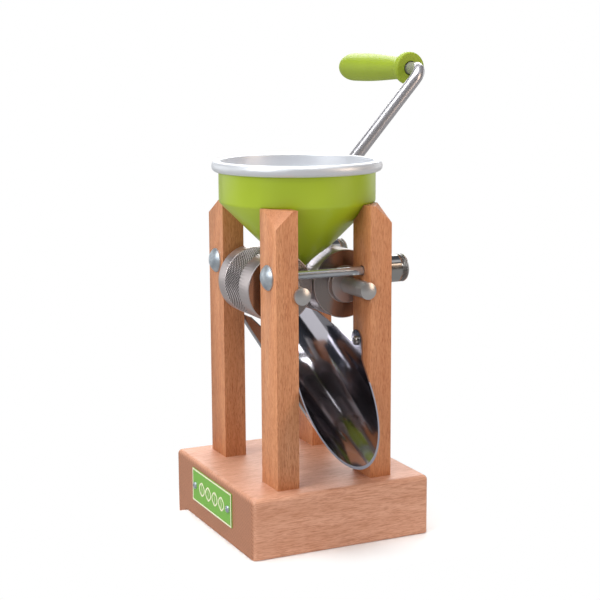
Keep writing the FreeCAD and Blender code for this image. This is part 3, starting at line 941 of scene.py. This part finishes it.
@dataclass
class Crank:
    """Hub, bent rod and the lacquered grip that turns on its end."""

    bore_mm: float = 6.05
    mouth_mm: tuple[float, float] = (7.2, 3.0)
    blind_mm: float = 10.0
    flange_mm: float = 8.0
    nose_mm: tuple[float, float] = (2.2, 2.6)
    back_mm: tuple[float, float] = (2.4, 3.0)
    shoulder_mm: float = 2.6
    waist_mm: float = 10.3
    belly_mm: float = 3.7
    shrink_mm: float = 0.01
    rod_mm: float = 6.0
    foot_mm: float = 8.5
    bend_mm: float = 14.0
    end_mm: float = 0.8

    def rod(self) -> bpy.types.Object:
        """The bent rod: circles carried along a straight run, a quarter turn and the grip's pin.

        On the turn the point is bend0 + bend * (sin a * way + (1 - cos a) * Y), looking along cos a * way + sin a * Y.

        Returns:
            The rod.
        """
        low, high = corners("crank_arm")
        radius, bend, end = self.rod_mm * MM, self.bend_mm * MM, self.end_mm * MM
        flat, ahead = np.array([1, 0, 1]), AXIS["y"]
        hub, knee = (sum(corners(node)) / 2 * flat + ahead * (low[1] + radius)
                     for node in ("drive_axle", "crank_grip"))
        reach = np.linalg.norm(knee - hub)
        way = (knee - hub) / reach
        a = np.linspace(0, np.pi / 2, 16)[:, None]
        run = np.linspace(self.foot_mm * MM, reach - bend, 24)[:, None]
        pin = np.linspace(knee[1] + bend, high[1] - end, 12)[1:, None] - knee[1]
        turn = hub + way * (reach - bend) + bend * (np.sin(a) * way + (1 - np.cos(a)) * ahead)
        tip = knee + ahead * (high[1] - knee[1])
        line = np.vstack([hub + way * run[0], hub + way * run, turn[1:], knee + ahead * pin, tip, tip])
        look = np.vstack([np.tile(way, (len(run) + 1, 1)), np.cos(a[1:]) * way + np.sin(a[1:]) * ahead,
                          np.tile(ahead, (len(pin) + 2, 1))])
        size = np.full(len(line), radius)
        size[[0, -1]], size[-2] = 0, radius - end
        t = np.linspace(0, FULL_TURN, 64, endpoint=False)[None, :, None]
        side = np.cross(way, ahead)
        ring = np.cos(t) * side + np.sin(t) * np.cross(side, look)[:, None, :]
        return surface("bent_rod", line[:, None, :] + size[:, None, None] * ring, closed_u=True)

    def grip_profile(self, start: float, end: float, big: float) -> np.ndarray:
        """Outline of the grip: blind bore, rounded flange, slim waist, belly, and a tip that closes like an egg.

        With s from 0 to 1 past the flange, the radius is (waist + flare + belly) * tip, where the flare dies away as
        exp(-(s / 0.045)^1.3), the belly rises as a sine up to s = 0.7 and the tip closes from s = 0.8 on.

        Args:
            start: y of the flange's face.
            end: y of the tip.
            big: radius of the flange.

        Returns:
            (radius, along) rows.
        """
        bore, flange, waist = self.bore_mm * MM, self.flange_mm * MM, self.waist_mm * MM
        mouth, deep = np.array(self.mouth_mm) * MM
        inside = [(0, end - self.blind_mm * MM), (bore, end - self.blind_mm * MM), (bore, start + deep),
                  (mouth, start + deep), (mouth, start)]
        t = np.linspace(0, np.pi / 2, 14)
        wide, long = np.array(self.nose_mm) * MM
        nose = np.column_stack([big - wide + wide * np.sin(t), start + long * (1 - np.cos(t))])
        wide, long = np.array(self.back_mm) * MM
        back = np.column_stack([big - wide + wide * np.cos(t), start + flange - long + long * np.sin(t)])
        s = np.linspace(0.02, 1, 90)
        flare = (big - self.shoulder_mm * MM - waist) * np.exp(-(s / 0.045) ** 1.3)
        belly = self.belly_mm * MM * np.sin(np.pi / 2 * np.clip((s - 0.04) / 0.66, 0, 1)) ** 1.3
        tip = np.sqrt(np.clip(1 - np.clip((s - 0.8) / 0.2, 0, 1) ** 2.4, 0, 1))
        body = np.column_stack([(waist + flare + belly) * tip, start + flange + (end - start - flange) * s])
        return np.vstack([inside, nose, back, body])

    def build(self) -> None:
        """Builds the grip's turned surface and the rod, and dresses the hub and screw."""
        low, high = corners("crank_grip")
        big = (high[0] - low[0]) / 2 - self.shrink_mm * MM
        grid = lathe(self.grip_profile(low[1], high[1], big), (low + high) / 2 * np.array([1, 0, 1]), "y", 112)
        lacquer = Lacquer("lime_gloss_lacquer", "#92A61A", "#8A9E16", 0.5, 0.06).make()
        grip = surface("lacquered_grip", grid, closed_u=True, sharp_deg=45)
        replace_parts(settle(grip, Body.GRIP, "grip_lacquer", lacquer), "crank_grip")
        bright = DrawnMetal("polished_rod", "#C6C5CA", 0.26, (40.0, 40.0, 40.0), depth_mm=0.0002, metallic=0.72).make()
        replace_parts(settle(self.rod(), Body.DRIVE, "bright_steel", bright), "crank_arm")
        centre = tuple(sum(corners("crank_hub")) / 2)
        dress(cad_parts["crank_hub"], TurnedMetal("turned_hub", "#BDBBB8", 0.2, "y", centre, ring_mm=0.3).make())
        dress(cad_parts["crank_grub_screw"], DrawnMetal("black_oxide_screw", "#3A3A3C", 0.35).make())


@dataclass
class Axles:
    """The two axles and the pins that hold the rollers on them."""

    sides: tuple[str, ...] = ("drive", "idler")

    def build(self) -> None:
        """Dresses the axles and pins."""
        for side in self.sides:
            centre = tuple(sum(corners(side + "_axle")) / 2)
            steel = TurnedMetal("polished_axle_" + side, "#CFCDCC", 0.3, "y", centre, ring_mm=0.4, depth_mm=0.004,
                                metallic=0.8)
            dress(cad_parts[side + "_axle"], steel.make())
            dress(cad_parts[side + "_pin"], DrawnMetal("bright_pin_" + side, "#D2D1CF", 0.12).make())


@dataclass
class Funnel:
    """Spun aluminium funnel: rolled rim and inside bare, outside lacquered lime green, two lips below."""

    band_mm: float = 65.6
    bead_mm: float = 9.0
    bead_bulge: float = 0.85
    sheet_mm: float = 1.5
    sheet_knee: float = 0.41
    outlet_mm: float = 10.2
    clear_mm: float = 2.5
    knee_mm: float = 276.0
    turns: int = 192

    def cut_back(self, turn: np.ndarray, tip: tuple[float, float]) -> np.ndarray:
        """How far the outlet is cut back along the cone so that it clears the rollers.

        The cone z = r + k meets the cylinder (r cos t - c)^2 + (z - axle)^2 = R^2; its larger root is the cut.

        Args:
            turn: angles round the funnel's axis.
            tip: radius and height of the cone's uncut lower end.

        Returns:
            The change of radius, and of height, at each angle.
        """
        low, high = corners("drive_roller")
        middle, reach = (low + high) / 2, (high[0] - low[0]) / 2 + self.clear_mm * MM
        across = np.abs(np.cos(turn))
        lift = tip[1] - tip[0] - middle[2]
        a, b = across ** 2 + 1, 2 * (lift - middle[0] * across)
        inside = b ** 2 - 4 * a * (middle[0] ** 2 + lift ** 2 - reach ** 2)
        root = (np.sqrt(np.clip(inside, 0, None)) - b) / (2 * a)
        return np.where(inside > 0, np.clip(root - tip[0], 0, None), 0)

    def build(self) -> None:
        """Builds the shell from its outline, lacquered part first, and cuts its outlet back."""
        low, high = corners("funnel")
        big, top, bottom = (high[0] - low[0]) / 2, high[2], low[2]
        band, sheet, outlet = self.band_mm * MM, self.sheet_mm * MM, self.outlet_mm * MM
        bead, knee, fold = top - self.bead_mm * MM, self.knee_mm * MM, sheet * self.sheet_knee
        outside = eased([(outlet, bottom), (band, knee), (band, bead)], 1.6)
        t = np.linspace(-np.pi / 2, np.pi / 2, 18)
        tall = (top - bead) / 2
        wide = tall * self.bead_bulge
        roll = np.column_stack([big - wide + wide * np.cos(t), bead + tall + tall * np.sin(t)])
        lip = eased([tuple(roll[-1]), (band - sheet, top), (band - sheet, knee + fold),
                     (outlet - sheet, bottom + fold), (outlet - sheet, bottom), (outlet, bottom)], 2.6, 7)
        profile = np.vstack([outside, [(big - wide, bead)], roll, lip])
        rows = np.arange(len(profile) - 1) >= len(outside) - 1
        grid = lathe(profile, np.zeros(3), "z", self.turns)
        turn = np.arctan2(grid[..., 1], grid[..., 0])
        cut = self.cut_back(turn, (outlet, bottom)) * (profile[:, 1] < bottom + 2 * sheet)[:, None]
        grid += cut[..., None] * np.stack([np.cos(turn), np.sin(turn), np.ones_like(turn)], axis=-1)
        piece = surface("spun_funnel", grid, closed_u=True, rows=rows)
        green = Lacquer("lime_satin_lacquer", "#A4BA1C", "#9AB016", 0.34, 0.4).make()
        bare = TurnedMetal("spun_aluminium", "#E2E5EA", 0.42, "z", (0, 0, 0), ring_mm=0.6, depth_mm=0.008,
                           metallic=0.55).make()
        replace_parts(settle(piece, Body.HOPPER, "lime_lacquer", green, bare), "funnel")


@dataclass
class Chute:
    """Mirror-polished stainless trough, with its two round-headed screws."""

    sheet_mm: float = 1.2
    head_mm: float = 2.6
    screw_turns_deg: tuple[float, float] = (35, 65)

    def build(self) -> None:
        """Dresses the trough and builds the screw heads."""
        mirror = DrawnMetal("mirror_stainless", "#B4B2BA", 0.11, (3.33, 40.0, 16.67), depth_mm=0.004).make()
        dress(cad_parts["chute"], mirror)
        low, high = corners("chute_screws")
        wall = corners("chute")[1][0] - self.sheet_mm * MM
        shape = CrossHead((high[2] - low[2]) / 2, self.head_mm * MM)
        bright = DrawnMetal("polished_screw", "#D0CFCD", 0.12).make()
        for i, (side, turned_deg) in enumerate(zip((-1, 1), self.screw_turns_deg)):
            centre = np.array([side * wall, (low[1] + high[1]) / 2, (low[2] + high[2]) / 2])
            head = shape.build(f"chute_screw_{i}", centre, -side * AXIS["x"], turned_deg)
            settle(head, Body.FRAME, "bright_steel", bright)
            if i == 0:
                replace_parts(head, "chute_screws")


# ---------------------------------------------------------------- studio
def stage_sheet(name: str, spots: Sequence[Sequence[float]], material: bpy.types.Material) -> bpy.types.Object:
    """A flat quad of the stage.

    Args:
        name: the quad's name.
        spots: its four corners in order.
        material: its material.

    Returns:
        The quad.
    """
    mesh = bpy.data.meshes.new(name)
    mesh.from_pydata([tuple(spot) for spot in spots], [], [(0, 1, 2, 3)])
    mesh.materials.append(material)
    quad = link(bpy.data.objects.new(name, mesh))
    return quad


@dataclass(frozen=True)
class SoftBox:
    """A rectangular lamp that looks at the middle of the object."""

    name: str
    at: Triple
    size: tuple[float, float]
    watts: float
    colour: str = "#FFFFFF"
    target: Triple = (0.0, 0.0, 0.18)

    def build(self) -> None:
        """Builds the lamp."""
        data = bpy.data.lights.new(self.name, "AREA")
        data.shape = "RECTANGLE"
        data.size, data.size_y = self.size
        data.energy = self.watts
        data.color = srgb(self.colour)[:3]
        lamp = link(bpy.data.objects.new(self.name, data))
        lamp.location = self.at
        lamp.rotation_euler = (Vector(self.target) - Vector(self.at)).to_track_quat("-Z", "Y").to_euler()


@dataclass(frozen=True)
class Card:
    """A card that only shows in reflections, facing the object."""

    name: str
    at: Triple
    size: tuple[float, float]
    colour: str
    target: Triple = (0.0, 0.0, 0.2)

    def build(self) -> None:
        """Builds the card."""
        material, tree = blank_material(self.name)
        glow = add_node(tree, "Emission", {"Color": srgb(self.colour), "Strength": 1.0})
        add_node(tree, "OutputMaterial", {"Surface": glow})
        turn = (Vector(self.target) - Vector(self.at)).to_track_quat("Z", "Y").to_matrix()
        w, h = self.size[0] / 2, self.size[1] / 2
        spots = [Vector(self.at) + turn @ Vector((x, y, 0)) for x, y in ((-w, -h), (w, -h), (w, h), (-w, h))]
        quad = stage_sheet(self.name, spots, material)
        quad.visible_camera = False
        quad.visible_diffuse = False
        quad.visible_shadow = False


@dataclass
class Studio:
    """Pale table top that ends at the stop lip, soft lights, and the camera."""

    eye: Triple = (-0.50943, -1.08571, 0.40199)
    yaw_deg: float = -25.23
    down_deg: float = 9.957
    roll_deg: float = -0.2925
    lens_mm: float = 86.29
    sensor_mm: float = 36.0
    paper_m: tuple[float, float] = (0.004, 0.06)
    mirrored_paper: float = 0.32
    block_half_m: Triple = (0.08, 0.085, 1.0)
    table_m: float = -0.0002
    floor_m: float = -0.0084
    edge_m: float = 0.0625
    far_m: float = 4.0
    lights: tuple[SoftBox | Card, ...] = (
        SoftBox("key_left", (-1.9, -0.5, 1.3), (1.2, 1.4), 24),
        SoftBox("fill_right", (1.5, -1.5, 0.9), (0.7, 1.4), 12, "#FFE2C8"),
        SoftBox("top", (-0.2, 0.1, 2.1), (1.4, 1.4), 36),
        SoftBox("back", (0.9, 1.8, 1.3), (1.6, 1.0), 24),
        Card("white_back", (0.9, 1.9, 0.35), (1.6, 0.7), "#FFFFFF"),
        Card("white_left", (-1.3, 1.7, 0.5), (1.9, 1.2), "#FFFFFF"),
        Card("white_over", (0.9, -0.7, 2.0), (0.6, 0.9), "#D8D8DC"),
        Card("white_right", (2.1, 0.8, 0.5), (1.2, 1.0), "#FFFFFF"),
        Card("dark_front", (0.25, -1.9, 0.35), (0.5, 1.6), "#050506"),
        Card("dark_right", (1.9, -0.6, 0.3), (0.8, 1.4), "#0B0A0A"),
        Card("dark_left", (-1.9, -0.1, 0.1), (0.5, 1.0), "#101012"),
    )

    def camera(self) -> None:
        """Puts the camera at the eye, looking down a little and to the right."""
        a, e, r = np.radians([self.yaw_deg, self.down_deg, self.roll_deg])
        back = np.array([np.sin(a) * np.cos(e), -np.cos(a) * np.cos(e), np.sin(e)])
        level = np.cross(AXIS["z"], back)
        level = level / np.linalg.norm(level)
        up = np.cross(back, level)
        right = np.cos(r) * level + np.sin(r) * up
        top = -np.sin(r) * level + np.cos(r) * up
        data = bpy.data.cameras.new("camera")
        data.lens, data.sensor_width = self.lens_mm, self.sensor_mm
        eye = link(bpy.data.objects.new("camera", data))
        turn = Matrix(np.column_stack([right, top, back]).tolist()).to_4x4()
        eye.matrix_world = Matrix.Translation(Vector(self.eye)) @ turn
        bpy.context.scene.camera = eye

    def paper(self) -> bpy.types.Material:
        """Pale matt paper that takes the object's shadow and fades to even white away from the block.

        The fade follows the distance from the block's outline. Reflections see the white alone, dimmed.

        Returns:
            The material.
        """
        pale, tree = blank_material("pale_paper")
        matt = add_node(tree, "BsdfPrincipled", {"Base Color": srgb("#F6F6F6"), "Roughness": 0.9})
        spot = add_node(tree, "TexCoord").outputs["Object"]
        beyond = add_node(tree, "VectorMath", {0: spot}, operation="ABSOLUTE")
        beyond = add_node(tree, "VectorMath", {0: beyond, 1: self.block_half_m}, operation="SUBTRACT")
        beyond = add_node(tree, "VectorMath", {0: beyond, 1: (0, 0, 0)}, operation="MAXIMUM")
        away = add_node(tree, "VectorMath", {0: beyond}, operation="LENGTH").outputs["Value"]
        fade = add_node(tree, "MapRange", {"Value": away, "From Min": self.paper_m[0], "From Max": self.paper_m[1]})
        mirrored = add_node(tree, "LightPath").outputs["Is Glossy Ray"]
        power = add_node(tree, "MapRange", {"Value": mirrored, "To Min": 1.0, "To Max": self.mirrored_paper})
        glow = add_node(tree, "Emission", {"Color": srgb("#FFFFFF"), "Strength": power})
        cover = add_node(tree, "Math", {0: fade, 1: mirrored}, operation="MAXIMUM")
        mixed = add_node(tree, "MixShader", {0: cover, 1: matt, 2: glow})
        add_node(tree, "OutputMaterial", {"Surface": mixed})
        return pale

    def floor(self) -> None:
        """The table top, its edge just in front of the stop lip, and the floor behind it."""
        pale, far = self.paper(), self.far_m
        steps = [(-far, self.table_m), (self.edge_m, self.table_m), (self.edge_m, self.floor_m), (far, self.floor_m)]
        for name, near, away in zip(("table_top", "table_edge", "back_floor"), steps, steps[1:]):
            stage_sheet(name, [(-far, *near), (far, *near), (far, *away), (-far, *away)], pale)

    def world(self) -> None:
        """A white surround that reflections see darker towards the ground and overhead."""
        world = bpy.data.worlds.new("surround")
        bpy.context.scene.world = world
        world.use_nodes = True
        tree = world.node_tree
        tree.nodes.clear()
        path = add_node(tree, "LightPath").outputs
        height = add_node(tree, "SeparateXYZ", {0: add_node(tree, "TexCoord").outputs["Generated"]}).outputs[2]
        climb = add_node(tree, "MapRange", {"Value": height, "From Min": -1.0})
        seen = add_node(tree, "ValToRGB", {0: climb}, [(0.0, "#A8A8A8"), (0.5, "#AAAAAA"), (1.0, "#B8B8BA")])
        dim = add_node(tree, "ValToRGB", {0: climb}, [(0.0, "#A8A8A8"), (0.48, "#5A5A5C"), (0.56, "#222226"),
                                                      (0.75, "#1E2024"), (1.0, "#5C6066")])
        for ray, shade in (("Is Glossy Ray", dim), ("Is Camera Ray", srgb("#FFFFFF"))):
            seen = add_node(tree, "Mix", {"Factor": path[ray], 6: seen, 7: shade}, data_type="RGBA").outputs[2]
        sky = add_node(tree, "Background", {"Color": seen, "Strength": 1.0})
        add_node(tree, "OutputWorld", {"Surface": sky})

    def build(self) -> None:
        """Builds the whole studio."""
        self.camera()
        self.floor()
        self.world()
        for light in self.lights:
            light.build()
        bpy.context.scene.view_settings.view_transform = "Standard"


def main() -> None:
    """Builds and dresses the whole nutcracker, then the studio."""
    logging.basicConfig(level=logging.INFO, format="%(message)s")
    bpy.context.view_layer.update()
    parts = [
        Woodwork(), NamePlate(), Roller("drive_roller", Body.DRIVE), Roller("idler_roller", Body.IDLER),
        Axles(), Crank(), Funnel(), Chute(), TieBolt("front"), TieBolt("rear"),
        ThumbNut("front", Body.NUT_FRONT), ThumbNut("rear", Body.NUT_REAR),
    ]
    for part in parts:
        part.build()
        LOG.info("built %s", type(part).__name__)
    dress(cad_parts["post_screws"], ZincPlate("zinc_post_screws").make())
    Studio().build()


if __name__ == "__main__":
    main()
